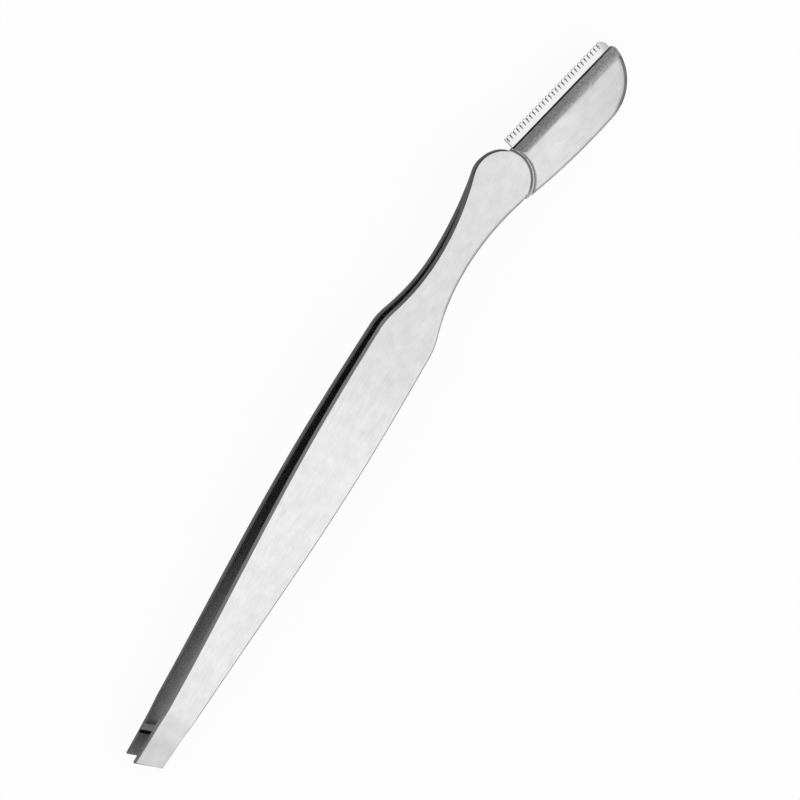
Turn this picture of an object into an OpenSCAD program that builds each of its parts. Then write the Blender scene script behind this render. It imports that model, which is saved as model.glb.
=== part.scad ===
// Tweezers with a folding eyebrow razor at the other end.
// The row's X axis runs along the handle from the tweezer tips to the razor, Y points to the side
// that the cutting edge faces, and Z points out of the front face. The origin is on the pivot,
// on the front face of the round head. Every length is in millimetres.

/* [Arms] */
// Distance from the pivot to the middle of the tips
arm_len = 111.5; // [100:1:125]
// Thickness of the sheet that both arms are cut from
sheet_t = 1.3; // [1:0.1:1.6]
// Widest part of the arms
belly_w = 10.5; // [9:0.5:13]
// Distance from the pivot to the widest part
belly_x = 45; // [38:1:55]
// Width of the arms at the shoulder
shoulder_w = 10.1; // [8.5:0.1:10.5]
// Distance from the pivot to the shoulder
shoulder_x = 28.9; // [26:0.5:33]
// How far the rounding of the shoulder's corner reaches to each side
shoulder_round = 1.8; // [0.5:0.1:3]
// Narrowest width of the front neck
neck_w = 5.2; // [4:0.1:6.5]
// Narrowest width of the rear neck
rear_neck_w = 4.7; // [4:0.1:6.5]
// Distance from the pivot to the narrowest part of the neck
neck_x = 15.6; // [13:0.1:18]
// Diameter of the round front head
head_d = 10.1; // [9.5:0.1:12]
// Diameter of the smaller rear head
rear_head_d = 8.3; // [7.8:0.1:10]

/* [Tips] */
// Width of the tips
tip_w = 4.6; // [3:0.1:6]
// Slant of the tips, in degrees
tip_slant = 17; // [0:1:30]
// Length of the ground gripping face at each tip
pad_len = 4.1; // [2.5:0.1:6]
// Height of the gripping face above the inner face of the arm
pad_step = 0.25; // [0.1:0.05:0.4]
// Width of the groove behind each gripping face
groove_w = 0.55; // [0.2:0.05:0.6]
// Depth of that groove in the inner face of the arm
groove_depth = 0.25; // [0.1:0.05:0.4]
// Length of the flat land between the groove and the bend of the arm
land_len = 2; // [1.4:0.1:2.2]
// Thickness of each arm at the very tip
tip_t = 0.85; // [0.7:0.05:1.2]
// Opening between the tips at rest
tip_gap = 4.3; // [2.5:0.1:4.4]
// Distance from the middle of the tips back to where the arms start to bend inwards
bend_len = 10.5; // [8:0.1:14]

/* [Gaps between the arms] */
// Half of the gap between the heads, in front of the razor's middle plane
front_gap = 0.65; // [0.6:0.05:0.9]
// Gap behind the razor's middle plane at the rear head
rear_gap = 0.8; // [0.75:0.05:1]
// Gap behind the middle plane along the rear neck when the tips are closed
rear_neck_gap = 0.7; // [0.65:0.05:0.9]
// Half of the gap at the bow of the arms when the tips are closed
bow_gap = 1.1; // [1:0.05:2]
// Distance from the pivot to the middle of the bow
bow_x = 78; // [66:1:82]
// Half of the gap where the arms start to bend inwards, when the tips are closed
bend_gap = 0.85; // [0.6:0.05:1]
// Gap left between the gripping faces when the tips are closed
pad_gap = 0.03; // [0.02:0.01:0.1]

/* [Pivot] */
// Diameter of the rivet that everything turns on
rivet_d = 2; // [1.6:0.1:2.4]
// Diameter of the rivet's domed head
rivet_head_d = 3.6; // [3.2:0.1:4]
// Height of the rivet's domed head
rivet_head_h = 0.6; // [0.4:0.05:0.9]
// Depth that the rivet is set into the front head
rivet_seat = 0.7; // [0.4:0.05:0.9]
// Diameter of the two washers
washer_d = 4.4; // [4:0.1:4.8]
// Outer diameter of the bush in the tang
bush_d = 3; // [2.7:0.1:3.4]
// Diameter of the pin that stops the razor at both ends of its swing
stop_d = 1; // [0.8:0.1:1.1]
// Distance from the pivot to the stop pin
stop_r = 3.1; // [3:0.05:3.3]
// How far the razor swings from open to folded, in degrees
fold_deg = 184; // [176:1:188]
// Angle of the open razor below the handle's line, in degrees
open_deg = 13.75; // [8:0.25:20]

/* [Razor holder] */
// Distance from the pivot to the end of the nose
holder_len = 29; // [26:0.5:32]
// Whole thickness of the holder
holder_t = 1.1; // [1:0.05:1.1]
// Thickness of the plate between the cheeks, which is also the tang
core_t = 0.5; // [0.4:0.05:0.6]
// Distance from the pivot line to the back of the holder
spine_v = 6.87; // [6:0.1:8]
// Distance along the holder to the fullest point of its back
crown_u = 16.5; // [14:0.5:18]
// Radius of the gently curved back
spine_r = 115; // [90:5:160]
// Radius of the round nose
nose_r = 8.45; // [7.5:0.1:8.8]
// Radius of the small corner between the nose and the cheek edge
corner_r = 0.9; // [0.4:0.1:1.4]
// Distance along the holder from the pivot to the heel
heel_u = 1.1; // [1:0.1:2]
// Distance from the pivot line to the cheek edge
cheek_v = 2.05; // [1.6:0.05:2.4]
// Thickness of each cheek where its bevel ends, outside the combs
cheek_lip = 0.05; // [0.03:0.01:0.08]
// Width of the bevel along the cheek edge
bevel_w = 2.2; // [1.6:0.1:2.6]
// Distance along the holder to where the bevel reaches its full width
bevel_u = 6.6; // [6.2:0.1:9]
// Radius of the concave cheek edge around the head
recess_r = 5.65; // [5.5:0.05:6]
// How far the centre of that edge lies to the back of the pivot
recess_shift = 0.75; // [0.2:0.05:0.9]

/* [Blade and combs] */
// Thickness of the blade
blade_t = 0.1; // [0.08:0.01:0.14]
// Thickness of each comb
comb_t = 0.08; // [0.06:0.01:0.09]
// Distance from the pivot line to the points of the combs
comb_v = 4; // [3.6:0.1:4.4]
// How far the cutting edge lies behind the points of the combs
edge_back = 0.14; // [0.1:0.02:0.4]
// Width of the ground edge of the blade
edge_w = 0.45; // [0.3:0.05:0.6]
// Width of blade and combs that the cheeks hold
clamp_w = 2.9; // [2.2:0.1:3.2]
// Distance along the holder to the square end of the combs
strip_start = 5.2; // [5.1:0.1:6]
// Distance from the nose of the holder to the round end of the combs
strip_inset = 0.7; // [0.6:0.1:2]
// Radius of the corner at that round end
strip_corner_r = 1.3; // [0.8:0.1:1.6]
// Number of slots in each comb
slot_count = 29; // [15:1:29]
// Distance between slots
slot_pitch = 0.76; // [0.7:0.01:0.78]
// Width of a slot
slot_w = 0.24; // [0.2:0.02:0.4]
// Depth of a slot
slot_depth = 0.85; // [0.6:0.05:1]
// Distance from the square end to the middle of the first slot
slot_margin = 0.4; // [0.3:0.05:0.6]

/* [Hidden] */
$fn = 72;
// Overrun of every cut
over = 1;
// Running clearance between the rivet and the bush, and around the washers
run_clear = 0.04;
// Clearance between the rivet and the rear head, which tips a little when the arms are squeezed
tilt_clear = 0.08;
// Gap between the rear head and the rivet's head, for the same tipping
head_clear = 0.1;
// Gap between the tang and each washer
face_clear = 0.02;
// Gap between the rear washer and the rear head
washer_clear = 0.1;
// Gap between the tang and the stop pin at the ends of the swing
stop_clear = 0.04;
// Radius of the hub of the tang, inside the stop pin
hub_r = 2.3;
// Radius of the tang under the head
tang_r = 4.6;
// Distance along the holder from the square end of the combs to their gripped part
grip_inset = 0.5;
// How far inside the cheek edge the combs step back to that gripped part
grip_step = 0.85;
// The taper to the tips is part of a half wave that is this many times as long
taper_share = 1.08;
// Height of the straight rim of the rivet's head, as a share of the head's height
rim_share = 0.4;
// Steps along each curved stretch of an arm, and along each arc of the holder
taper_steps = 22;
shoulder_steps = 6;
round_steps = 6;
neck_steps = 14;
head_steps = 36;
bow_steps = 14;
slope_steps = 8;
bend_steps = 8;
spine_steps = 10;
nose_steps = 26;
corner_steps = 6;

mid_z = -sheet_t - front_gap;
squeeze_deg = atan(tip_gap / arm_len);
pad_x = arm_len - pad_len;
bend_x = arm_len - bend_len;
bend_end_x = pad_x - land_len;
inner_at_pad = pad_gap / 2 + pad_step;
tip_reach = tip_w / 2 * tan(tip_slant);
depth = rear_gap + bow_gap + sheet_t + tip_gap + over;
stack_t = blade_t + 2 * comb_t;
blade_back_v = cheek_v - clamp_w;
stop_angle = fold_deg / 2 - 180;
stop_edge_u = stop_r * cos(stop_angle) + stop_d / 2 + stop_clear;
nose_u = holder_len - nose_r;
strip_end = holder_len - strip_inset;
spine_centre_v = spine_r - spine_v;
nose_v = spine_centre_v - sqrt(pow(spine_r - nose_r, 2) - pow(nose_u - crown_u, 2));
steel = [0.82, 0.82, 0.83];
dark_steel = [0.6, 0.6, 0.62];
bright_steel = [0.93, 0.93, 0.94];
brass = [0.78, 0.66, 0.38];

// Plan outline of an arm. Distances x run from the pivot towards the tips.
function taper_half(x) =
    let (wave = (x - belly_x) / (taper_share * (arm_len - belly_x)))
    tip_w / 2 + (belly_w - tip_w) / 2 * (1 + cos(180 * wave)) / 2;
function shoulder_half(x) =
    belly_w / 2 - (belly_w - shoulder_w) / 2 * pow((belly_x - x) / (belly_x - shoulder_x), 2);
function neck_half(x, neck) =
    neck / 2 + (shoulder_w - neck) / 2 * pow((x - neck_x) / (shoulder_x - neck_x), 2);

// Rounded corner of the shoulder, from the arm at t = 0 to the neck at t = 1
function shoulder_corner(t, neck) =
    let (
        arm_x = shoulder_x + shoulder_round,
        neck_start = shoulder_x - shoulder_round,
        from = [-arm_x, shoulder_half(arm_x)],
        to = [-neck_start, neck_half(neck_start, neck)]
    )
    pow(1 - t, 2) * from + 2 * t * (1 - t) * [-shoulder_x, shoulder_w / 2] + pow(t, 2) * to;

function flare_half(x, neck, flare_x, flare_half_w) =
    neck / 2 + (flare_half_w - neck / 2) * pow((neck_x - x) / (neck_x - flare_x), 2);

// Angle at which the flare of the neck meets the round head without a corner
function meeting_angle(head_r, neck, angle = 15, rounds = 12) = rounds == 0 ? angle :
    meeting_angle(
        head_r, neck,
        atan(2 * (head_r * cos(angle) - neck / 2) / (neck_x - head_r * sin(angle))),
        rounds - 1
    );

function steps_between(from, to, count) = [for (i = [1 : count]) from + (to - from) * i / count];

function arm_edge(head_r, neck) =
    let (
        meet = meeting_angle(head_r, neck),
        flare_x = head_r * sin(meet),
        flare_half_w = head_r * cos(meet)
    )
    [
        for (x = steps_between(arm_len, belly_x, taper_steps)) [-x, taper_half(x)],
        for (x = steps_between(belly_x, shoulder_x + shoulder_round, shoulder_steps))
            [-x, shoulder_half(x)],
        for (t = steps_between(0, 1, round_steps)) shoulder_corner(t, neck),
        for (x = steps_between(shoulder_x - shoulder_round, neck_x, neck_steps))
            [-x, neck_half(x, neck)],
        for (x = steps_between(neck_x, flare_x, neck_steps))
            [-x, flare_half(x, neck, flare_x, flare_half_w)],
        for (a = steps_between(90 + meet, 0, head_steps)) head_r * [cos(a), sin(a)]
    ];

function other_side(points) = [for (i = [len(points) - 2 : -1 : 0]) [points[i].x, -points[i].y]];

module arm_outline(head_r, neck) {
    edge = arm_edge(head_r, neck);
    left_tip = [-arm_len - tip_reach, taper_half(arm_len)];
    right_tip = [-arm_len + tip_reach, -taper_half(arm_len)];
    polygon(concat([left_tip], edge, other_side(edge), [right_tip]));
}

// Side shape of an arm, as its inner face's distance from the middle plane with the tips closed
function ease(t) = t <= 0 ? 0 : t >= 1 ? 1 : t * t * (3 - 2 * t);
function half_gap(x, neck_gap) = x < bow_x
    ? neck_gap + (bow_gap - neck_gap) * ease((x - shoulder_x) / (bow_x - shoulder_x))
    : x < bend_x
    ? bow_gap - (bow_gap - bend_gap) * pow((x - bow_x) / (bend_x - bow_x), 2)
    : bend_gap + (inner_at_pad - bend_gap) * ease((x - bend_x) / (bend_end_x - bend_x));

function side_stations() = concat(
    [shoulder_x],
    steps_between(shoulder_x, bow_x, bow_steps),
    steps_between(bow_x, bend_x, slope_steps),
    steps_between(bend_x, bend_end_x, bend_steps)
);

function side_face(neck_gap, depth) =
    [for (x = side_stations()) [-x, half_gap(x, neck_gap) + depth]];

function backwards(points) = [for (i = [len(points) - 1 : -1 : 0]) points[i]];

function tip_end() = -arm_len - tip_reach - over;

function closed_side(start_x, neck_gap) = concat(
    [[-start_x, neck_gap]],
    side_face(neck_gap, 0),
    [[tip_end(), inner_at_pad], [tip_end(), pad_gap / 2 + tip_t]],
    backwards(side_face(neck_gap, sheet_t)),
    [[-start_x, neck_gap + sheet_t]]
);

// Side shape of the raised gripping face, which reaches halfway into the tip
function pad_side() =
    let (top = inner_at_pad + (tip_t - pad_step) / 2, start_x = tip_w - pad_x)
    [[start_x, pad_gap / 2], [tip_end(), pad_gap / 2], [tip_end(), top], [start_x, top]];

// Side shape of the room that the groove is cut from
function groove_side() =
    let (top = inner_at_pad + groove_depth, low = -over, from = -pad_x - tip_w, to = -pad_x + tip_w)
    [[from, low], [to, low], [to, top], [from, top]];

// A point of the closed rear arm, swung open about the rear head's inner face
function opened(p) =
    let (below = rear_gap - p.y)
    [
        p.x * cos(squeeze_deg) - below * sin(squeeze_deg),
        p.x * sin(squeeze_deg) + below * cos(squeeze_deg) - rear_gap
    ];

module along_handle(width) {
    rotate([90, 0, 0]) linear_extrude(width, center = true) children();
}

module middle_plane() {
    translate([0, 0, mid_z]) children();
}

module pivot_hole(radius, bottom, top) {
    translate([0, 0, bottom]) cylinder(h = top - bottom, r = radius);
}

module at_stop_pin() {
    rotate([0, 0, -open_deg + stop_angle]) translate([stop_r, 0, 0]) children();
}

function swung(points, is_open) = is_open ? [for (p = points) opened(p)] : points;

// Plan strip across an arm, parallel to its slanted tip and measured from the gripping face's edge
module slanted_strip(from, to) {
    translate([-pad_x, 0, -depth]) rotate([0, 0, tip_slant]) translate([from, -belly_w, 0])
        cube([to - from, 2 * belly_w, 2 * depth]);
}

// An arm with its gripping face and groove, from its plan outline and its side shape
module arm(head_r, neck, side, is_open) {
    full_w = belly_w + 2 * over;
    difference() {
        intersection() {
            translate([0, 0, -depth]) linear_extrude(2 * depth) arm_outline(head_r, neck);
            union() {
                along_handle(full_w) polygon(side);
                intersection() {
                    along_handle(full_w) polygon(swung(pad_side(), is_open));
                    slanted_strip(-pad_len - tip_w, 0);
                }
            }
        }
        intersection() {
            along_handle(full_w) polygon(swung(groove_side(), is_open));
            slanted_strip(0, groove_w);
        }
    }
}

module front_arm() {
    color(steel) middle_plane() difference() {
        arm(head_d / 2, neck_w, closed_side(-head_d, front_gap), false);
        pivot_hole(rivet_d / 2, 0, front_gap + rivet_seat);
        at_stop_pin() pivot_hole(stop_d / 2, 0, front_gap + rivet_seat);
    }
}

module rear_arm() {
    kink_x = (rear_gap - rear_neck_gap) / tan(squeeze_deg);
    side = swung(closed_side(kink_x, rear_neck_gap), true);
    head = [[rear_head_d, -rear_gap - sheet_t], [rear_head_d, -rear_gap]];
    color(steel) middle_plane() difference() {
        arm(rear_head_d / 2, rear_neck_w, concat(side, head), true);
        pivot_hole(rivet_d / 2 + tilt_clear, -rear_gap - sheet_t - over, 0);
    }
}

module pivot_rivet() {
    head_top = -rear_gap - sheet_t - head_clear;
    rim_h = rim_share * rivet_head_h;
    dome_h = rivet_head_h - rim_h;
    dome_r = (pow(rivet_head_d / 2, 2) + pow(dome_h, 2)) / (2 * dome_h);
    color(dark_steel) middle_plane() {
        pivot_hole(rivet_d / 2, head_top - rim_h, front_gap + rivet_seat);
        difference() {
            pivot_hole(rivet_head_d / 2, head_top - rivet_head_h, head_top);
            difference() {
                pivot_hole(rivet_head_d, head_top - rivet_head_h - over, head_top - rim_h);
                translate([0, 0, head_top - rivet_head_h + dome_r]) sphere(dome_r);
            }
        }
    }
}

module stop_pin() {
    color(dark_steel) middle_plane() at_stop_pin()
        pivot_hole(stop_d / 2, -core_t / 2 - face_clear, front_gap + rivet_seat);
}

module washer(bottom, top) {
    difference() {
        pivot_hole(washer_d / 2, bottom, top);
        pivot_hole(rivet_d / 2 + run_clear, bottom - over, top + over);
    }
}

module front_washer() {
    color(brass) middle_plane() washer(core_t / 2 + face_clear, front_gap);
}

module rear_washer() {
    color(brass) middle_plane() washer(-rear_gap + washer_clear, -core_t / 2 - face_clear);
}

// Places what follows the razor: its own X axis runs along the holder, its Y axis to the edge
module razor_frame() {
    middle_plane() rotate([0, 0, -open_deg]) children();
}

module pivot_bush() {
    color(brass) razor_frame() difference() {
        pivot_hole(bush_d / 2, -core_t / 2, core_t / 2);
        pivot_hole(rivet_d / 2 + run_clear, -core_t / 2 - over, core_t / 2 + over);
    }
}

// Outline of the holder, from the heel along the back, round the nose to the cheek edge
function arc_points(centre, radius, from, to, count) =
    [for (i = [0 : count]) let (a = from + (to - from) * i / count) centre + radius * [cos(a), sin(a)]];

function holder_points() =
    let (
        spine_centre = [crown_u, spine_centre_v],
        nose_centre = [nose_u, nose_v],
        heel_angle = -90 - asin((crown_u - heel_u) / spine_r),
        tangent_angle = atan2(nose_v - spine_centre_v, nose_u - crown_u),
        corner_v = cheek_v - corner_r,
        corner_u = nose_u + sqrt(pow(nose_r - corner_r, 2) - pow(corner_v - nose_v, 2)),
        corner_angle = atan2(corner_v - nose_v, corner_u - nose_u)
    )
    concat(
        arc_points(spine_centre, spine_r, heel_angle, tangent_angle, spine_steps),
        arc_points(nose_centre, nose_r, tangent_angle, corner_angle, nose_steps),
        arc_points([corner_u, corner_v], corner_r, corner_angle, 90, corner_steps),
        [[heel_u, cheek_v]]
    );

module holder_slab(bottom, top) {
    translate([0, 0, bottom]) linear_extrude(top - bottom) polygon(holder_points());
}

// The square end of the blade and the combs, which steps back to the part that the cheeks grip
function strip_heel() =
    let (grip_u = strip_start + grip_inset, step_v = cheek_v - grip_step)
    [[strip_start, step_v], [grip_u, step_v], [grip_u, blade_back_v]];

// Room inside the cheek edge that the blade and the combs take
module blade_room(bottom, top) {
    far = 2 * holder_len;
    translate([0, 0, bottom]) linear_extrude(top - bottom)
        polygon(concat(strip_heel(), [[far, blade_back_v], [far, far], [strip_start, far]]));
}

module tang_plate() {
    half = core_t / 2;
    color(dark_steel) razor_frame() difference() {
        union() {
            pivot_hole(hub_r, -half, half);
            difference() {
                union() {
                    pivot_hole(tang_r, -half, half);
                    holder_slab(-half, half);
                }
                translate([stop_edge_u - holder_len, -holder_len, -half - over])
                    cube([holder_len, 2 * holder_len, core_t + 2 * over]);
            }
        }
        pivot_hole(bush_d / 2, -half - over, half + over);
        blade_room(-half - over, half + over);
    }
}

// Wedge that cuts the bevel, with its slanting end near the head
module bevel_cut() {
    bevel_start = cheek_v - bevel_w;
    lip_z = stack_t / 2 + cheek_lip;
    drop = holder_t / 2 - lip_z;
    rise = drop * over / bevel_w;
    intersection() {
        translate([heel_u, 0, 0]) rotate([90, 0, 90]) linear_extrude(holder_len) polygon([
            [bevel_start - over, holder_t / 2 + rise],
            [cheek_v + over, lip_z - rise],
            [cheek_v + over, holder_t],
            [bevel_start - over, holder_t]
        ]);
        translate([bevel_u, bevel_start, 0]) rotate([0, 0, -45]) translate([-holder_len, 0, 0])
            cube([2 * holder_len, 2 * holder_len, holder_t]);
    }
}

module cheek() {
    razor_frame() difference() {
        union() {
            holder_slab(core_t / 2, holder_t / 2);
            intersection() {
                holder_slab(stack_t / 2, core_t / 2);
                blade_room(stack_t / 2, core_t / 2);
            }
        }
        rotate([0, 0, open_deg]) translate([0, -recess_shift, 0]) cylinder(h = holder_t, r = recess_r);
        bevel_cut();
    }
}

module front_cheek() {
    color(steel) cheek();
}

module rear_cheek() {
    color(steel) translate([0, 0, 2 * mid_z]) mirror([0, 0, 1]) cheek();
}

// Plan shape shared by the blade and the combs, which reach to a given distance from the pivot line
module strip_outline(edge_v) {
    corner = [strip_end - strip_corner_r, edge_v - strip_corner_r];
    polygon(concat(
        strip_heel(),
        [[corner.x, blade_back_v], [strip_end, cheek_v - corner_r]],
        arc_points(corner, strip_corner_r, 0, 90, corner_steps),
        [[strip_start, edge_v]]
    ));
}

module razor_blade() {
    edge_v = comb_v - edge_back;
    color(bright_steel) razor_frame() intersection() {
        translate([0, 0, -blade_t]) linear_extrude(2 * blade_t) strip_outline(edge_v);
        rotate([90, 0, 90]) linear_extrude(holder_len) polygon([
            [blade_back_v, -blade_t / 2],
            [edge_v - edge_w, -blade_t / 2],
            [edge_v, 0],
            [edge_v - edge_w, blade_t / 2],
            [blade_back_v, blade_t / 2]
        ]);
    }
}

module comb() {
    razor_frame() translate([0, 0, blade_t / 2]) difference() {
        linear_extrude(comb_t) strip_outline(comb_v);
        for (i = [0 : slot_count - 1])
            translate([strip_start + slot_margin + i * slot_pitch, comb_v - slot_depth, -comb_t]) {
                translate([-slot_w / 2, 0, 0]) cube([slot_w, slot_depth + over, 3 * comb_t]);
                cylinder(h = 3 * comb_t, r = slot_w / 2, $fn = 24);
            }
    }
}

module front_comb() {
    color(bright_steel) comb();
}

module rear_comb() {
    color(bright_steel) translate([0, 0, 2 * mid_z]) mirror([0, 0, 1]) comb();
}

front_arm();
rear_arm();
pivot_rivet();
stop_pin();
front_washer();
rear_washer();
pivot_bush();
tang_plate();
front_cheek();
rear_cheek();
razor_blade();
front_comb();
rear_comb();
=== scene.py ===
"""Looks of slant-tip tweezers with a folding eyebrow razor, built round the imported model.

Lengths are in metres. The handle runs along X with the razor at the +X end, the cutting edge
faces +Y, and the front face looks along +Z. The pivot is at x = 0, y = 0.
"""

import math

import bmesh
import bpy
from mathutils import Matrix, Vector


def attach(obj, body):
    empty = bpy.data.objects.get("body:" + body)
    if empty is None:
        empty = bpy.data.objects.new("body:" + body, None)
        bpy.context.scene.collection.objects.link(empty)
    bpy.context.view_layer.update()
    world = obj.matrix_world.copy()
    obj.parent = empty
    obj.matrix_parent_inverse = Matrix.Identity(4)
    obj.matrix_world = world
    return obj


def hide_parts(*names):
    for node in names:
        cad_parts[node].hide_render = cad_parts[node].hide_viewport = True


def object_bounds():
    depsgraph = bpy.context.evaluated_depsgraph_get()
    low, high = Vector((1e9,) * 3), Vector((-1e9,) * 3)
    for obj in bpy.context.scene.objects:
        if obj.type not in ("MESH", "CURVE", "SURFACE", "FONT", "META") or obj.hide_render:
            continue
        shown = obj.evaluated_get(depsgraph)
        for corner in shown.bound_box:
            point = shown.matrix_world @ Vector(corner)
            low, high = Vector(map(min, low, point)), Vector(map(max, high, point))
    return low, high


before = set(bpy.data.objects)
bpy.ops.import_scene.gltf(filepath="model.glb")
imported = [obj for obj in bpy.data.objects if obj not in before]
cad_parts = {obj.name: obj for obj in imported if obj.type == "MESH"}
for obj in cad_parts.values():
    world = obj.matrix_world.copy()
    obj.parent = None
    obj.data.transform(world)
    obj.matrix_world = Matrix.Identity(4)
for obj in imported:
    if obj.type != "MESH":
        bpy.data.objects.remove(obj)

cad_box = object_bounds()
scene = bpy.context.scene
MM = 0.001
QUARTER_TURN = math.pi / 2

# Places on the arms, which repeat the part's own sizes
PAD_X = 107.4 * MM
TIP_SLANT = math.radians(17)
GROOVE_WIDTH = 0.55 * MM
LAND_WIDTH = 1.1 * MM

# Places on the razor, which repeat the part's own sizes
RAZOR_TILT = math.radians(-13.75)
CHEEK_EDGE = 2.05 * MM
BEVEL_WIDTH = 2.2 * MM
NOSE_START = 27.4 * MM
COMB_START = 5.2 * MM
RECESS_CENTRE = Vector((0, -0.75 * MM))
RECESS_RADIUS = 5.65 * MM

# Radii of rounded edges, and the distance from the pivot within which edges stay sharp
ARM_CORNER = 0.2 * MM
ARM_INNER_CORNER = 0.22 * MM
TANG_CORNER = 0.05 * MM
CHEEK_CORNER = 0.16 * MM
ROUND_STEPS = 3
PIVOT_KEEP = 4.0 * MM

# Strips painted with shade of their own: the lip by the blade, the comb's end and the rim round the
# nose
LIP_WIDTH = 0.3 * MM
COMB_END_WIDTH = 0.14 * MM
NOSE_RIM_START = 23 * MM

# Edges are told apart by their angle, and faces by how far their normal follows Z
SMOOTH_LIMIT = math.radians(13)
SHARP_LIMIT = math.radians(28)
BROAD_FACE = 0.9
LEVEL_FACE = 0.998

# Slack for cleaning, cutting and sorting shapes
MERGE_DISTANCE = 0.0005 * MM
FLAT_ANGLE = math.radians(0.05)
CUT_SLACK = 0.0001 * MM
GROOVE_SLACK = 1.02


# Helpers for shader nodes

def add_node(tree, kind, **settings):
    node = tree.nodes.new(kind)
    for name, value in settings.items():
        setattr(node, name, value)
    return node


def fill(tree, socket, value):
    """Links another node's output to the socket, or sets the socket to a fixed value."""
    if isinstance(value, bpy.types.NodeSocket):
        tree.links.new(value, socket)
    else:
        socket.default_value = value


def filled_node(tree, kind, inputs, **settings):
    """The outputs of a new node, whose inputs are given by their labels."""
    node = add_node(tree, kind, **settings)
    for label, value in inputs.items():
        fill(tree, node.inputs[label], value)
    return node.outputs


def math_node(tree, operation, first, second):
    node = add_node(tree, "ShaderNodeMath", operation=operation)
    fill(tree, node.inputs[0], first)
    fill(tree, node.inputs[1], second)
    return node.outputs["Value"]


def vector_node(tree, operation, *values):
    """The outputs of a sum on vectors: Vector, or Value where the result is one number."""
    node = add_node(tree, "ShaderNodeVectorMath", operation=operation)
    for socket, value in zip(node.inputs, values):
        fill(tree, socket, value)
    return node.outputs


def axis_distance(tree, place):
    """The distance of a place from the Z axis."""
    flat = vector_node(tree, "MULTIPLY", place, (1, 1, 0))["Vector"]
    return vector_node(tree, "LENGTH", flat)["Value"]


def smooth_step(tree, value, start, end, low=0.0, high=1.0):
    """A number that passes smoothly from low to high while the value goes from start to end."""
    inputs = {"Value": value, "From Min": start, "From Max": end, "To Min": low, "To Max": high}
    step = filled_node(tree, "ShaderNodeMapRange", inputs, interpolation_type="SMOOTHSTEP")
    return step["Result"]


def new_group(name, vectors, numbers, outputs):
    """A node group, with the sockets of the values given to it and of its results."""
    group = bpy.data.node_groups.new(name, "ShaderNodeTree")
    sockets = [("INPUT", "NodeSocketVector", label) for label in vectors]
    sockets += [("INPUT", "NodeSocketFloat", label) for label in numbers]
    sockets += [("OUTPUT", "NodeSocketFloat", label) for label in outputs]
    for side, kind, label in sockets:
        group.interface.new_socket(name=label, in_out=side, socket_type=kind)
    given = add_node(group, "NodeGroupInput").outputs
    results = add_node(group, "NodeGroupOutput").inputs
    return group, given, results


# Surface effects that several finishes share: grains, and fades and rings that paint shade and
# light

RINGS_PER_METRE = 9000.0


def brushed_grain():
    """Fine lines along X, broken up in length, and soft blotches a few millimetres wide."""
    numbers = ["Lines across", "Breaks along", "Blotches"]
    group, given, results = new_group("brushed grain", ["Vector"], numbers, ["Line", "Blotch"])
    place = given["Vector"]
    across = given["Lines across"]
    scales = {"X": given["Breaks along"], "Y": across, "Z": across}
    scale = filled_node(group, "ShaderNodeCombineXYZ", scales)["Vector"]
    stretched = vector_node(group, "MULTIPLY", place, scale)["Vector"]
    noises = {
        "Line": {"Vector": stretched, "Scale": 1.0, "Detail": 3.0, "Roughness": 0.6},
        "Blotch": {"Vector": place, "Scale": given["Blotches"], "Detail": 2.0, "Roughness": 0.5},
    }
    for label, inputs in noises.items():
        noise = filled_node(group, "ShaderNodeTexNoise", inputs)
        group.links.new(noise["Fac"], results[label])
    return group


def turned_grain():
    """Fine rings round the pivot axis, as a lathe leaves them."""
    group, given, results = new_group("turned grain", ["Vector"], [], ["Line"])
    radius = axis_distance(group, given["Vector"])
    rings = math_node(group, "MULTIPLY", radius, RINGS_PER_METRE)
    inputs = {"W": rings, "Scale": 1.0, "Detail": 2.0}
    noise = filled_node(group, "ShaderNodeTexNoise", inputs, noise_dimensions="1D")
    group.links.new(noise["Fac"], results["Line"])
    return group


def long_fade():
    """A share that passes smoothly from 1 at Start to Final at End, along Direction."""
    group, given, results = new_group(
        "long fade", ["Vector", "Direction"], ["Start", "End", "Final"], ["Share"]
    )
    reach = vector_node(group, "DOT_PRODUCT", given["Vector"], given["Direction"])["Value"]
    share = smooth_step(group, reach, given["Start"], given["End"], 1.0, given["Final"])
    group.links.new(share, results["Share"])
    return group


def ring_fade():
    """A share that passes from 1 at the Start radius to Final at the End radius, round Centre.

    It counts on the side that Side points to, and comes in over the length Blend.
    """
    group, given, results = new_group(
        "ring fade", ["Vector", "Centre", "Side"], ["Blend", "Start", "End", "Final"], ["Share"]
    )
    offset = vector_node(group, "SUBTRACT", given["Vector"], given["Centre"])["Vector"]
    radius = axis_distance(group, offset)
    in_ring = smooth_step(group, radius, given["Start"], given["End"])
    reach = vector_node(group, "DOT_PRODUCT", offset, given["Side"])["Value"]
    on_side = smooth_step(group, reach, 0.0, given["Blend"])
    strength = math_node(group, "MULTIPLY", in_ring, on_side)
    change = math_node(group, "SUBTRACT", given["Final"], 1.0)
    share = math_node(group, "ADD", math_node(group, "MULTIPLY", strength, change), 1.0)
    group.links.new(share, results["Share"])
    return group


BRUSHED = brushed_grain()
TURNED = turned_grain()
FADED = long_fade()
RINGED = ring_fade()


def fade(toward, start, end, final):
    """Painted shade or light along a direction, from none at start to a factor of final at end."""
    return FADED, {"Direction": toward, "Start": start, "End": end, "Final": final}


def ring(centre, side, blend, start, end, final):
    """Painted shade or light by the distance from a centre, on the side of it that side points to.
    """
    return RINGED, {
        "Centre": centre, "Side": side, "Blend": blend,
        "Start": start, "End": end, "Final": final,
    }


# Kinds of metal

# The grain passes from its dark to its light tone between these values of the noise
GRAIN_DARK = 0.3
GRAIN_LIGHT = 0.7

# The fine lines' share in the tone of brushed steel, where the blotches have the rest
LINE_SHARE = 0.45

# No change of tone makes steel lighter than this
BRIGHTEST_STEEL = 0.96

BLUE_CAST = 1.005
GLOSS_SPREAD = 0.05
RELIEF_DEPTH = 0.02 * MM


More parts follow.
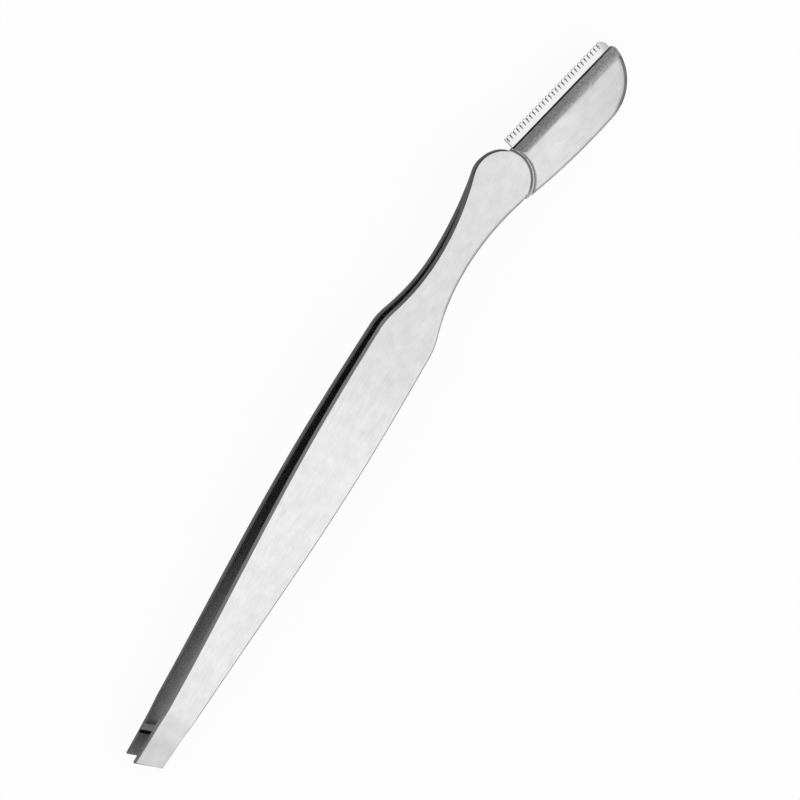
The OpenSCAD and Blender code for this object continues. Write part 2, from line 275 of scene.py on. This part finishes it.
def grey(level):
    """A neutral steel grey, given as a linear level."""
    return (level, level, level * BLUE_CAST, 1)


def start_metal(name, turn):
    """A metal with its place on the piece, where turn points the grain away from X."""
    material = bpy.data.materials.new(name)
    material.use_nodes = True
    tree = material.node_tree
    tree.nodes["Principled BSDF"].inputs["Metallic"].default_value = 1.0
    coordinates = add_node(tree, "ShaderNodeTexCoord").outputs["Object"]
    inputs = {"Vector": coordinates, "Rotation": (0, 0, -turn)}
    place = filled_node(tree, "ShaderNodeMapping", inputs, vector_type="POINT")["Vector"]
    return material, tree, place


def tone_and_relief(tree, shade, line, dark, light, rough, bump, share=None):
    """Gives the metal its tone from shade, and its gloss and fine relief from line.

    The tone lies between dark and light, and share makes it darker or lighter.
    """
    tone = add_node(tree, "ShaderNodeValToRGB")
    tone.color_ramp.elements[0].position = GRAIN_DARK
    tone.color_ramp.elements[0].color = dark
    tone.color_ramp.elements[1].position = GRAIN_LIGHT
    tone.color_ramp.elements[1].color = light
    tree.links.new(shade, tone.inputs["Fac"])
    colour = tone.outputs["Color"]
    if share is not None:
        inputs = {"Vector": colour, "Scale": share}
        colour = filled_node(tree, "ShaderNodeVectorMath", inputs, operation="SCALE")["Vector"]
    gloss = filled_node(tree, "ShaderNodeMapRange", {
        "Value": line,
        "From Min": GRAIN_DARK,
        "From Max": GRAIN_LIGHT,
        "To Min": rough + GLOSS_SPREAD,
        "To Max": rough - GLOSS_SPREAD,
    })
    inputs = {"Strength": bump, "Distance": RELIEF_DEPTH, "Height": line}
    relief = filled_node(tree, "ShaderNodeBump", inputs)
    shader = tree.nodes["Principled BSDF"]
    tree.links.new(colour, shader.inputs["Base Color"])
    tree.links.new(gloss["Result"], shader.inputs["Roughness"])
    tree.links.new(relief["Normal"], shader.inputs["Normal"])


def brushed_metal(
    name, dark, light, rough, bump,
    turn=0.0, across=4200.0, along=400.0, blotches=420.0, changes=(),
):
    """Brushed steel between a dark and a light grey, with shade and light painted over the piece.

    across, along and blotches say how closely the lines, their breaks and the blotches follow
    each other, per metre.
    """
    material, tree, place = start_metal(name, turn)
    inputs = {
        "Vector": place, "Lines across": across, "Breaks along": along, "Blotches": blotches
    }
    grain = filled_node(tree, "ShaderNodeGroup", inputs, node_tree=BRUSHED)
    fine = math_node(tree, "MULTIPLY", grain["Line"], LINE_SHARE)
    broad = math_node(tree, "MULTIPLY", grain["Blotch"], 1 - LINE_SHARE)
    shade = math_node(tree, "ADD", fine, broad)
    share = None
    for group, values in changes:
        change = filled_node(tree, "ShaderNodeGroup", {"Vector": place, **values}, node_tree=group)
        factor = change["Share"]
        share = math_node(tree, "MULTIPLY", share, factor) if share else factor
    if share:
        share = math_node(tree, "MINIMUM", share, BRIGHTEST_STEEL / light)
    tone_and_relief(tree, shade, grain["Line"], grey(dark), grey(light), rough, bump, share)
    return material


def turned_metal(name, dark, light, rough, bump):
    """Metal from the lathe, between a dark and a light colour."""
    material, tree, place = start_metal(name, 0.0)
    line = filled_node(tree, "ShaderNodeGroup", {"Vector": place}, node_tree=TURNED)["Line"]
    tone_and_relief(tree, line, line, dark, light, rough, bump)
    return material


# Finishes of the arms, with painted shade and highlights

TO_HEAD = (1, 0, 0)
TO_TIP = (-1, 0, 0)
TO_BACK = (0, -1, 0)

# Directions that set off the head next to the razor, the crown, the neck and the back of the tip
ROUND_HEAD = (0.85, -0.53, 0)
ACROSS_CROWN = (0.42, 0.91, 0)
ACROSS_NECK = (0.316, 0.949, 0)
ACROSS_TIP = (-0.316, -0.949, 0)

# Radius and centre of the hollow along the back of the neck, and the side of it near the head
NECK_RADIUS = 42.7 * MM
NECK_CENTRE = (-15.2 * MM, -45.3 * MM, 0)
UP_NECK = (0.97, 0.24, 0)


def brushed_arm_face():
    # Painted light: the arm is painted lighter past the neck as a highlight, and darker at the tip
    # and along the hollow of the neck as shade.
    belly_painted_highlight = fade(TO_TIP, start=30 * MM, end=56 * MM, final=1.13)
    tip = fade(TO_TIP, start=103 * MM, end=108 * MM, final=0.82)
    neck_painted_shade = ring(
        NECK_CENTRE, UP_NECK, blend=4 * MM,
        start=NECK_RADIUS + 0.6 * MM, end=NECK_RADIUS + 0.2 * MM, final=0.55,
    )
    return brushed_metal(
        "brushed_arm_face", dark=0.68, light=0.80, rough=0.42, bump=0.25,
        changes=[belly_painted_highlight, tip, neck_painted_shade],
    )


def polished_arm_inside():
    # Painted shade: the inside grows darker towards the joint, where the gap between the arms
    # closes.
    joint_painted_shade = fade(TO_HEAD, start=-88 * MM, end=-62 * MM, final=0.72)
    return brushed_metal(
        "polished_arm_inside", dark=0.38, light=0.46, rough=0.25, bump=0.15, changes=[joint_painted_shade]
    )


# Cut edges are duller than the faces; their dark grey is painted shade and dark reflection, painted
# darker still at the neck and at the tip.
def front_arm_edge_painted_shade():
    head = fade(TO_HEAD, start=-29 * MM, end=-25 * MM, final=0.42)
    tip = fade(TO_TIP, start=104 * MM, end=108 * MM, final=0.6)
    return brushed_metal(
        "front_arm_edge_painted_shade", dark=0.13, light=0.18, rough=0.5, bump=0.3,
        across=2600.0, changes=[head, tip],
    )


# A darker copy of the front arm's edge steel: painted shade and dark reflection, darker still as
# the rear arm lies nearer the floor.
def rear_arm_edge_painted_shade():
    return brushed_metal(
        "rear_arm_edge_painted_shade", dark=0.07, light=0.10, rough=0.5, bump=0.3, across=2600.0
    )


def rounded_arm_corner():
    """Painted shade at the neck and crown, painted highlights at the tip's back and by the razor.
    """
    tip = fade(ACROSS_TIP, start=33.3 * MM, end=35.4 * MM, final=2.5)
    back = fade(TO_BACK, start=-2.3 * MM, end=-1.5 * MM, final=1.25)
    neck = fade(ACROSS_NECK, start=-4.6 * MM, end=-4.2 * MM, final=0.55)
    crown = fade(ACROSS_CROWN, start=3.3 * MM, end=4.1 * MM, final=0.6)
    head = fade(ROUND_HEAD, start=2.6 * MM, end=3.3 * MM, final=5.5)
    return brushed_metal(
        "rounded_arm_corner", dark=0.17, light=0.24, rough=0.4, bump=0.2,
        changes=[tip, back, neck, crown, head],
    )


# A darker copy of the arm corner steel, painted as shade, for the rear arm's corners and the inner
# corners in the gap between the arms.
def arm_corner_painted_shade():
    return brushed_metal("arm_corner_painted_shade", dark=0.08, light=0.11, rough=0.4, bump=0.2)


# The gripping pad's grain runs across the arm; its dark grey is painted shade between the arms.
def tip_pad_painted_shade():
    return brushed_metal(
        "tip_pad_painted_shade", dark=0.15, light=0.20, rough=0.5, bump=0.2, turn=QUARTER_TURN
    )


def ground_tip_land():
    return brushed_metal(
        "ground_tip_land", dark=0.38, light=0.50, rough=0.5, bump=0.2, turn=QUARTER_TURN
    )


# Near black: painted shade in the groove across the tip, carried onto the arm's side edge.
def tip_groove_painted_shade():
    return brushed_metal("tip_groove_painted_shade", dark=0.01, light=0.02, rough=0.6, bump=0.1)


# Finishes of the razor, with painted shade and light, whose directions and places are counted along
# and across its holder

TO_NOSE = (1, 0, 0)
TO_EDGE = (0, 1, 0)
TO_SPINE = (0, -1, 0)

# Radii and centres of the arcs of the nose and the spine, and of the painted shadow round the head,
# and the centre of the painted shade round the recess
NOSE_RADIUS = 8.45 * MM
NOSE_CENTRE = (20.55 * MM, 1.66 * MM, 0)
SPINE_RADIUS = 115 * MM
SPINE_CENTRE = (16.5 * MM, 108.13 * MM, 0)
HEAD_SHADOW_RADIUS = 5.3 * MM
HEAD_SHADOW_CENTRE = (0.26 * MM, -0.62 * MM, 0)
RECESS_SHADE_CENTRE = (0.18 * MM, -0.73 * MM, 0)


def holder_steel(name, dark, light, rough, bump, **grain):
    """Brushed steel with its grain along the holder."""
    return brushed_metal(name, dark, light, rough, bump, turn=RAZOR_TILT, **grain)


def brushed_holder_face():
    # Painted shade: darker by the bevel and towards the nose, with dark lines just inside the nose,
    # along the spine and round the recess.
    bevel = fade(
        TO_EDGE, start=CHEEK_EDGE - BEVEL_WIDTH - 0.5 * MM, end=CHEEK_EDGE - BEVEL_WIDTH, final=0.75
    )
    far = fade(TO_NOSE, start=10 * MM, end=26 * MM, final=0.88)
    nose_shade_ring = ring(
        NOSE_CENTRE, TO_NOSE, blend=3 * MM,
        start=NOSE_RADIUS - 1.3 * MM, end=NOSE_RADIUS - 0.3 * MM, final=0.72,
    )
    nose_shade_line = ring(
        NOSE_CENTRE, TO_NOSE, blend=3 * MM,
        start=NOSE_RADIUS - 0.68 * MM, end=NOSE_RADIUS - 0.46 * MM, final=0.38,
    )
    spine_shade_line = ring(
        SPINE_CENTRE, TO_SPINE, blend=1 * MM,
        start=SPINE_RADIUS - 0.5 * MM, end=SPINE_RADIUS - 0.3 * MM, final=0.62,
    )
    recess_shade_line = ring(
        RECESS_SHADE_CENTRE, TO_SPINE, blend=1.5 * MM,
        start=RECESS_RADIUS + 0.34 * MM, end=RECESS_RADIUS + 0.2 * MM, final=0.58,
    )
    return holder_steel(
        "brushed_holder_face", dark=0.68, light=0.82, rough=0.42, bump=0.25,
        changes=[bevel, far, nose_shade_ring, nose_shade_line, spine_shade_line, recess_shade_line],
    )


# The bevel's dark grey is painted shade, darker towards the cutting edge and lighter towards the
# nose.
def holder_bevel_painted_shade():
    edge = fade(
        TO_EDGE, start=CHEEK_EDGE - BEVEL_WIDTH, end=CHEEK_EDGE - BEVEL_WIDTH / 2, final=0.62
    )
    far = fade(TO_NOSE, start=12 * MM, end=26 * MM, final=1.25)
    return holder_steel(
        "holder_bevel_painted_shade", dark=0.19, light=0.50, rough=0.45, bump=0.3,
        across=5200.0, along=1500.0, blotches=3200.0, changes=[edge, far],
    )


# The cut edges of the cheeks and tang, in a dark grey that is painted shade and dark reflection.
def holder_edge_painted_shade():
    return holder_steel("holder_edge_painted_shade", dark=0.10, light=0.16, rough=0.5, bump=0.3)


# The rounded rim, in a grey darker than the face: painted shade along the contour.
def holder_rim_painted_shade():
    return holder_steel("holder_rim_painted_shade", dark=0.21, light=0.29, rough=0.45, bump=0.2)


# A darker copy of the rim steel for its part round the nose: painted shade.
def holder_nose_painted_shade():
    return holder_steel("holder_nose_painted_shade", dark=0.11, light=0.16, rough=0.45, bump=0.2)


# A lighter copy of the rim and edge steel for the faces round the recess: painted light.
def holder_recess_painted_light():
    return holder_steel("holder_recess_painted_light", dark=0.60, light=0.72, rough=0.8, bump=0.1)


# A near-black strip along the lip: painted shadow in the slot between cheek and blade, painted
# lighter towards the nose.
def holder_lip_painted_shadow():
    nose = fade(TO_NOSE, start=23 * MM, end=NOSE_START, final=4.0)
    return holder_steel(
        "holder_lip_painted_shadow", dark=0.015, light=0.03, rough=0.5, bump=0.2, changes=[nose]
    )


def ground_tang_face():
    # Painted shadow: a dark ring on the tang just round the front arm's head.
    head_painted_shadow = ring(
        HEAD_SHADOW_CENTRE, TO_NOSE, blend=3 * MM,
        start=HEAD_SHADOW_RADIUS + 0.15 * MM, end=HEAD_SHADOW_RADIUS, final=0.25,
    )
    return holder_steel(
        "ground_tang_face", dark=0.62, light=0.74, rough=0.5, bump=0.2, changes=[head_painted_shadow]
    )


def satin_comb_face():
    # Painted shade on the comb's rounded end by the nose.
    nose = fade(TO_NOSE, start=26 * MM, end=28.4 * MM, final=0.6)
    return holder_steel(
        "satin_comb_face", dark=0.90, light=0.96, rough=0.5, bump=0.1, changes=[nose]
    )


# The slot walls in near black: painted shade inside the slots.
def comb_wall_painted_shade():
    return holder_steel("comb_wall_painted_shade", dark=0.06, light=0.1, rough=0.5, bump=0.1)


# A grey strip at the comb's end, darker than its face: painted shade on the end's corner.
def comb_end_painted_shade():
    return holder_steel("comb_end_painted_shade", dark=0.34, light=0.42, rough=0.5, bump=0.1)


def satin_blade_body():
    return holder_steel("satin_blade_body", dark=0.3, light=0.4, rough=0.35, bump=0.15)


def honed_blade_edge():
    """Ground square to the holder, so its grain runs across the edge."""
    return brushed_metal(
        "honed_blade_edge", dark=0.09, light=0.14, rough=0.3, bump=0.15,
        turn=RAZOR_TILT + QUARTER_TURN,
    )


# Finishes of the pivot

def turned_rivet_steel():
    return turned_metal(
        "turned_rivet_steel", dark=grey(0.35), light=grey(0.5), rough=0.35, bump=0.3
    )


def turned_brass():
    return turned_metal(
        "turned_brass", dark=(0.42, 0.28, 0.08, 1), light=(0.6, 0.43, 0.15, 1), rough=0.35, bump=0.3
    )


# Steps that several pieces share

def merged_copy(node_name):
    """The node's shape with doubles merged and flat faces made whole again."""
    shape = bmesh.new()
    shape.from_mesh(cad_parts[node_name].data)
    bmesh.ops.remove_doubles(shape, verts=shape.verts, dist=MERGE_DISTANCE)
    bmesh.ops.dissolve_limit(
        shape, angle_limit=FLAT_ANGLE, verts=shape.verts, edges=shape.edges,
        use_dissolve_boundaries=False,
    )
    return shape


def cut_across(shape, faces, place, direction):
    """Cuts the faces in two along the plane through place, square to direction."""
    edges = list(dict.fromkeys(edge for face in faces for edge in face.edges))
    bmesh.ops.bisect_plane(
        shape, geom=faces + edges, dist=CUT_SLACK, plane_co=place, plane_no=direction
    )


def corner_angle(edge):
    return edge.calc_face_angle(0.0)


def sharp_edges(shape):
    """The sharp edges, apart from those round the pivot."""
    return [
        edge for edge in shape.edges
        if corner_angle(edge) > SHARP_LIMIT
        and all(vert.co.xy.length > PIVOT_KEEP for vert in edge.verts)
    ]


def round_edges(shape, edges, radius, material_number, keep_clear=True):
    """Rounds the edges. keep_clear holds the rounding back where it would meet another edge."""
    bmesh.ops.bevel(
        shape, geom=edges, offset=radius, offset_type="OFFSET", affect="EDGES",
        segments=ROUND_STEPS, profile=0.5, material=material_number, clamp_overlap=keep_clear,
    )


def object_from(shape, name):
    """Puts the shape in the scene as an object."""
    mesh = bpy.data.meshes.new(name)
    shape.to_mesh(mesh)
    shape.free()
    thing = bpy.data.objects.new(name, mesh)
    scene.collection.objects.link(thing)
    return thing


def finish_shape(shape, body, node_name, materials, round_numbers=()):
    """Shades the shape, and puts it in the scene in place of its node.

    Between faces whose material is one of round_numbers, the shading is always smooth.
    """
    for face in shape.faces:
        face.smooth = True
    for edge in shape.edges:
        rounded = all(face.material_index in round_numbers for face in edge.link_faces)
        edge.smooth = rounded or corner_angle(edge) < SMOOTH_LIMIT
    piece = object_from(shape, node_name + "_finished")
    for material in materials:
        piece.data.materials.append(material)
    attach(piece, body)
    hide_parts(node_name)


def behind_pad(place):
    """Distance from the edge of the gripping face towards the pivot, square to the slanted tip."""
    return (place.x + PAD_X) * math.cos(TIP_SLANT) + place.y * math.sin(TIP_SLANT)


def along_holder(place):
    return place.x * math.cos(RAZOR_TILT) + place.y * math.sin(RAZOR_TILT)


def across_holder(place):
    return place.y * math.cos(RAZOR_TILT) - place.x * math.sin(RAZOR_TILT)


# Pieces made from the model's own shapes, with softened edges and a finish for each kind of face,
# most of them with painted shade and highlights

def dress_arm(node_name, body, outward, edge_steel, corner_steel):
    """An arm with rounded edges. outward is 1 where its outer face looks along +Z, or else -1."""
    outer, edge_cut, inside, pad, groove, land, corner, inner_corner = range(8)
    materials = [
        ARM_FACE, edge_steel, ARM_INSIDE, TIP_PAD, TIP_GROOVE, TIP_LAND, corner_steel,
        ARM_SHADED_ROUND,
    ]
    land_end = GROOVE_WIDTH + LAND_WIDTH
    slant = Vector((math.cos(TIP_SLANT), math.sin(TIP_SLANT), 0))
    shape = merged_copy(node_name)
    inner_faces = [face for face in shape.faces if face.normal.z * outward < -BROAD_FACE]
    cut_across(shape, inner_faces, Vector((-PAD_X, 0, 0)) + land_end * slant, slant)
    for face in shape.faces:
        facing = face.normal.z * outward
        behind = behind_pad(face.calc_center_median())
        if facing > BROAD_FACE:
            face.material_index = outer
        elif 0 < behind < GROOVE_WIDTH * GROOVE_SLACK:
            face.material_index = groove
        elif facing > -BROAD_FACE:
            face.material_index = edge_cut
        elif behind < 0:
            face.material_index = pad
        elif behind < land_end:
            face.material_index = land
        else:
            face.material_index = inside
    sharp = sharp_edges(shape)
    outer_edges = [
        edge for edge in sharp if any(face.material_index == outer for face in edge.link_faces)
    ]
    inner_edges = [
        edge for edge in sharp
        if any(face.material_index == inside for face in edge.link_faces)
        and all(behind_pad(vert.co) > land_end for vert in edge.verts)
    ]
    round_edges(shape, outer_edges, ARM_CORNER, corner)
    inner_edges = [edge for edge in inner_edges if edge.is_valid]
    round_edges(shape, inner_edges, ARM_INNER_CORNER, inner_corner, keep_clear=False)
    finish_shape(shape, body, node_name, materials, (corner, inner_corner))


def dress_cheek(node_name, outward):
    """A cheek with a rounded rim along its back, nose and recess, and a painted shadow on its lip.

    outward is 1 where its outer face looks along +Z, or else -1.
    """
    flat, bevel, edge_cut, rim, nose, recess, lip = range(7)
    materials = [
        HOLDER_FACE, HOLDER_BEVEL, HOLDER_EDGE, HOLDER_RIM, HOLDER_NOSE, HOLDER_RECESS, HOLDER_LIP
    ]
    shape = merged_copy(node_name)
    for face in shape.faces:
        facing = face.normal.z * outward
        if facing > LEVEL_FACE:
            face.material_index = flat
        elif facing > BROAD_FACE:
            face.material_index = bevel
        else:
            face.material_index = edge_cut
    rim_edges = [
        edge for edge in shape.edges
        if {face.material_index for face in edge.link_faces} == {flat, edge_cut}
        and corner_angle(edge) > SHARP_LIMIT
    ]
    round_edges(shape, rim_edges, CHEEK_CORNER, rim, keep_clear=False)
    across = Vector((-math.sin(RAZOR_TILT), math.cos(RAZOR_TILT), 0))
    lip_start = CHEEK_EDGE - LIP_WIDTH
    bevel_faces = [face for face in shape.faces if face.material_index == bevel]
    cut_across(shape, bevel_faces, lip_start * across, across)
    for face in shape.faces:
        centre = face.calc_center_median()
        from_recess = (centre.xy - RECESS_CENTRE).length - RECESS_RADIUS
        if face.material_index in (rim, edge_cut) and from_recess < CHEEK_CORNER:
            face.material_index = recess
        elif face.material_index == rim and along_holder(centre) > NOSE_RIM_START:
            face.material_index = nose
        elif face.material_index == bevel and across_holder(centre) > lip_start:
            face.material_index = lip
    finish_shape(shape, "razor", node_name, materials, (rim, nose, recess))


def dress_tang():
    """The plate between the cheeks, with slightly softened edges in painted shade."""
    flat, edge_cut = range(2)
    shape = merged_copy("tang_plate")
    for face in shape.faces:
        face.material_index = flat if abs(face.normal.z) > BROAD_FACE else edge_cut
    round_edges(shape, sharp_edges(shape), TANG_CORNER, edge_cut)
    finish_shape(shape, "razor", "tang_plate", [TANG_FACE, HOLDER_EDGE])


def dress_comb(node_name):
    """A comb with bright faces, and painted shade on its slot walls and on a strip at its end."""
    flat, wall, end = range(3)
    along = Vector((math.cos(RAZOR_TILT), math.sin(RAZOR_TILT), 0))
    end_strip = COMB_START + COMB_END_WIDTH
    shape = merged_copy(node_name)
    cut_across(shape, shape.faces[:], end_strip * along, along)
    for face in shape.faces:
        face.material_index = flat if abs(face.normal.z) > LEVEL_FACE else wall
        if along_holder(face.calc_center_median()) < end_strip:
            face.material_index = end
    finish_shape(shape, "razor", node_name, [COMB_FACE, COMB_WALL, COMB_END])


def dress_blade():
    """The blade, with a finish of its own on the slanted faces that meet in the cutting edge."""
    flat, honed = range(2)
    shape = merged_copy("razor_blade")
    for face in shape.faces:
        face.material_index = flat if abs(face.normal.z) > LEVEL_FACE else honed
    finish_shape(shape, "razor", "razor_blade", [BLADE_BODY, BLADE_EDGE])


def finish_node(node_name, material):
    """Gives a node that keeps its shape a better finish."""
    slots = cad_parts[node_name].data.materials
    slots.clear()
    slots.append(material)


ARM_FACE = brushed_arm_face()
ARM_INSIDE = polished_arm_inside()
ARM_ROUND = rounded_arm_corner()
ARM_SHADED_ROUND = arm_corner_painted_shade()
FRONT_ARM_EDGE = front_arm_edge_painted_shade()
REAR_ARM_EDGE = rear_arm_edge_painted_shade()
TIP_PAD = tip_pad_painted_shade()
TIP_LAND = ground_tip_land()
TIP_GROOVE = tip_groove_painted_shade()
HOLDER_FACE = brushed_holder_face()
HOLDER_BEVEL = holder_bevel_painted_shade()
HOLDER_EDGE = holder_edge_painted_shade()
HOLDER_RIM = holder_rim_painted_shade()
HOLDER_NOSE = holder_nose_painted_shade()
HOLDER_RECESS = holder_recess_painted_light()
HOLDER_LIP = holder_lip_painted_shadow()
TANG_FACE = ground_tang_face()
COMB_FACE = satin_comb_face()
COMB_WALL = comb_wall_painted_shade()
COMB_END = comb_end_painted_shade()
BLADE_BODY = satin_blade_body()
BLADE_EDGE = honed_blade_edge()
RIVET_STEEL = turned_rivet_steel()
BRASS = turned_brass()

dress_arm("front_arm", "handle", 1, FRONT_ARM_EDGE, ARM_ROUND)
dress_arm("rear_arm", "rear_arm", -1, REAR_ARM_EDGE, ARM_SHADED_ROUND)
dress_cheek("front_cheek", 1)
dress_cheek("rear_cheek", -1)
dress_tang()
dress_comb("front_comb")
dress_comb("rear_comb")
dress_blade()
finish_node("pivot_rivet", RIVET_STEEL)
finish_node("stop_pin", RIVET_STEEL)
finish_node("front_washer", BRASS)
finish_node("rear_washer", BRASS)
finish_node("pivot_bush", BRASS)


# Floor under the lowest point of the tool

FLOOR_SIZE = 8.0
FLOOR_GAP = 0.02 * MM
FLOOR_WHITE = (0.96, 0.96, 0.96, 1)
FLOOR_ROUGHNESS = 0.9
FLOOR_GLOW = 0.92


def white_floor_paint():
    """White paint that the camera and the steel see as nearly plain white, with a faint shadow."""
    paint = bpy.data.materials.new("white_floor_paint")
    paint.use_nodes = True
    tree = paint.node_tree
    shader = tree.nodes["Principled BSDF"]
    shader.inputs["Base Color"].default_value = FLOOR_WHITE
    shader.inputs["Roughness"].default_value = FLOOR_ROUGHNESS
    shader.inputs["Specular IOR Level"].default_value = 0.0
    glow = filled_node(tree, "ShaderNodeEmission", {"Strength": 1.0})["Emission"]
    rays = add_node(tree, "ShaderNodeLightPath").outputs
    seen = math_node(tree, "MAXIMUM", rays["Is Camera Ray"], rays["Is Glossy Ray"])
    seen = math_node(tree, "MAXIMUM", seen, rays["Is Transmission Ray"])
    blend = add_node(tree, "ShaderNodeMixShader")
    tree.links.new(math_node(tree, "MULTIPLY", seen, FLOOR_GLOW), blend.inputs["Fac"])
    tree.links.new(shader.outputs["BSDF"], blend.inputs[1])
    tree.links.new(glow, blend.inputs[2])
    tree.links.new(blend.outputs["Shader"], tree.nodes["Material Output"].inputs["Surface"])
    return paint


def white_floor():
    shape = bmesh.new()
    bmesh.ops.create_grid(shape, x_segments=1, y_segments=1, size=FLOOR_SIZE / 2)
    bmesh.ops.translate(shape, verts=shape.verts, vec=(0, 0, cad_box[0].z - FLOOR_GAP))
    floor = object_from(shape, "floor")
    floor.data.materials.append(white_floor_paint())


white_floor()


# Light: an even, pale room and one large soft panel overhead

ROOM_LEVEL = 0.8
HORIZON_LEVEL = 0.985
PANEL_SIZE = 0.9
PANEL_PLACE = Vector((-0.03, -0.42, 0.95))
PANEL_POWER = 0.75
HANDLE_MIDDLE = Vector((-0.04, 0, 0))


def even_room():
    """Even light from all sides, and a horizon as bright as the floor where the camera sees it."""
    room = bpy.data.worlds.new("even_room")
    room.use_nodes = True
    tree = room.node_tree
    background = tree.nodes["Background"]
    background.inputs["Color"].default_value = (1, 1, 1, 1)
    seen = add_node(tree, "ShaderNodeLightPath").outputs["Is Camera Ray"]
    lift = math_node(tree, "MULTIPLY", seen, HORIZON_LEVEL - ROOM_LEVEL)
    tree.links.new(math_node(tree, "ADD", lift, ROOM_LEVEL), background.inputs["Strength"])
    return room


def soft_panel():
    lamp = bpy.data.lights.new("soft_panel", "AREA")
    lamp.shape = "SQUARE"
    lamp.size = PANEL_SIZE
    lamp.energy = PANEL_POWER
    panel = bpy.data.objects.new("soft_panel", lamp)
    panel.location = PANEL_PLACE
    panel.rotation_mode = "QUATERNION"
    panel.rotation_quaternion = (PANEL_PLACE - HANDLE_MIDDLE).to_track_quat("Z", "Y")
    scene.collection.objects.link(panel)


scene.world = even_room()
soft_panel()


# Camera at the photograph's angle: above the tool, towards the side of the cutting edge

CAMERA_PLACE = Vector((-30.07, 178.43, 465.34)) * MM
CAMERA_AIM = Vector((-39.10, -5.17, -2.02)) * MM
CAMERA_NEAR_LIMIT = 0.01
FOCAL_PIXELS = 3065.0
PICTURE_PIXELS = 800.0
SENSOR_MM = 36.0

# The direction in the tool's plane that points up in the picture, as its angle from X
PICTURE_UP = math.radians(32.688)


def photo_camera():
    lens = bpy.data.cameras.new("camera")
    lens.sensor_width = SENSOR_MM
    lens.lens = FOCAL_PIXELS / PICTURE_PIXELS * SENSOR_MM
    lens.clip_start = CAMERA_NEAR_LIMIT
    camera = bpy.data.objects.new("camera", lens)
    scene.collection.objects.link(camera)
    back = (CAMERA_PLACE - CAMERA_AIM).normalized()
    right = Vector((math.cos(PICTURE_UP), math.sin(PICTURE_UP), 0)).cross(back).normalized()
    turn = Matrix((right, back.cross(right), back)).transposed()
    camera.matrix_world = Matrix.Translation(CAMERA_PLACE) @ turn.to_4x4()
    return camera


scene.camera = photo_camera()
scene.view_settings.view_transform = "Standard"
